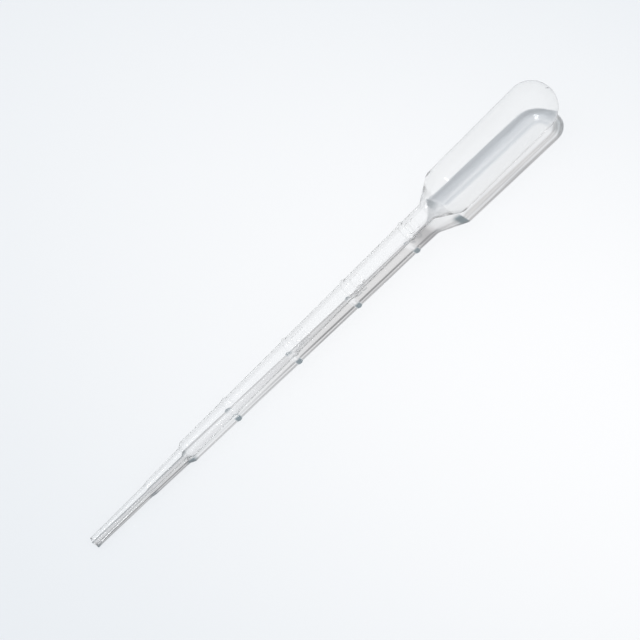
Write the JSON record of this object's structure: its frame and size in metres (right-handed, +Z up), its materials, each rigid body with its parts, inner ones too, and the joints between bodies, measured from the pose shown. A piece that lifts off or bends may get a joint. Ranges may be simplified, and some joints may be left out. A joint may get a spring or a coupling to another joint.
{
  "type": "plastic dropper pipette",
  "caption": "Graduated transfer pipette blown in one piece: fine open tip, stepped clear stem with raised volume marks, and a round-ended squeeze bulb, lying on its side.",
  "frame": {"origin": "on the surface that the pipette lies on, under the middle of its bounding box", "axes": "+X from the open tip to the round end of the bulb, +Z up, +Y to the left looking along +X; the pipette's own axis rises 2.47 degrees from tip to bulb"},
  "size_m": [0.16, 0.0132, 0.0144],
  "materials": {
    "polyethylene": "clear to faintly milky low-density polyethylene with a soft shine, clearest in the thin stem and milkiest in the bulb"
  },
  "bodies": {
    "root": {"pipette": "polyethylene"}
  },
  "joints": []
}
